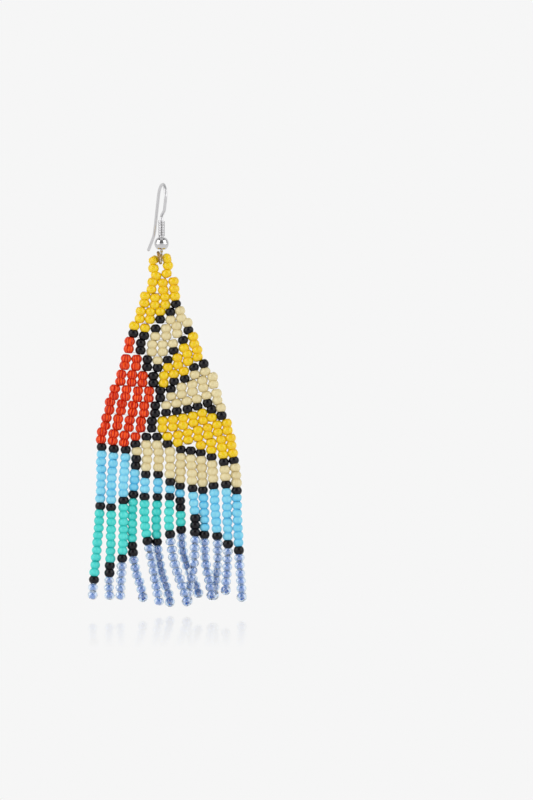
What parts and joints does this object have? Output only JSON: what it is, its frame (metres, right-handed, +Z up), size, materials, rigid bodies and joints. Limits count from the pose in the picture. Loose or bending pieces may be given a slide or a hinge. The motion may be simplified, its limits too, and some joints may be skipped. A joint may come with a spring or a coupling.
{
  "type": "beaded dangle earring",
  "caption": "French ear wire with a coil and ball, carrying a brick-stitched triangular panel of glass seed beads in a colour-block pattern and a long fringe of bead strings.",
  "frame": {"origin": "inside top of the ear wire's bow, straight above the drop: the point of the wire that rests in the ear, which holds the earring up", "axes": "+Z up against the hang of the drop, +X across the bead panel to the viewer's right, -Y out of the panel's front"},
  "size_m": [0.0334, 0.0156, 0.0887],
  "materials": {
    "silver_plate": "bright silver plate",
    "nylon_thread": "waxed white nylon beading thread",
    "yellow_glass": "opaque glossy glass seed beads in yellow, black, cream and orange red",
    "teal_glass": "opaque glossy glass seed beads, mostly turquoise green and sky blue",
    "sky_glass": "opaque glossy glass seed beads, mostly sky blue",
    "lined_blue_glass": "clear glass seed beads with a light blue lined hole, and opaque ones above them"
  },
  "bodies": {
    "hook": {"ear_hook": "silver_plate", "hook_coil": "silver_plate", "hook_ball": "silver_plate"},
    "drop": {"hanging_thread": "nylon_thread", "bead_panel": "yellow_glass", "fringe_strand_01": "teal_glass", "fringe_strand_02": "teal_glass", "fringe_strand_03": "teal_glass", "fringe_strand_04": "teal_glass", "fringe_strand_05": "lined_blue_glass", "fringe_strand_06": "lined_blue_glass", "fringe_strand_07": "lined_blue_glass", "fringe_strand_08": "lined_blue_glass", "fringe_strand_09": "lined_blue_glass", "fringe_strand_10": "sky_glass", "fringe_strand_11": "sky_glass", "fringe_strand_12": "sky_glass", "fringe_strand_13": "sky_glass"}
  },
  "joints": [
    {"name": "drop_swing", "type": "hinge", "parent": "hook", "child": "drop", "pos_m": [0, 0, -0.01555], "axis": [1, 0, 0], "range_deg": [-60, 60]}
  ]
}
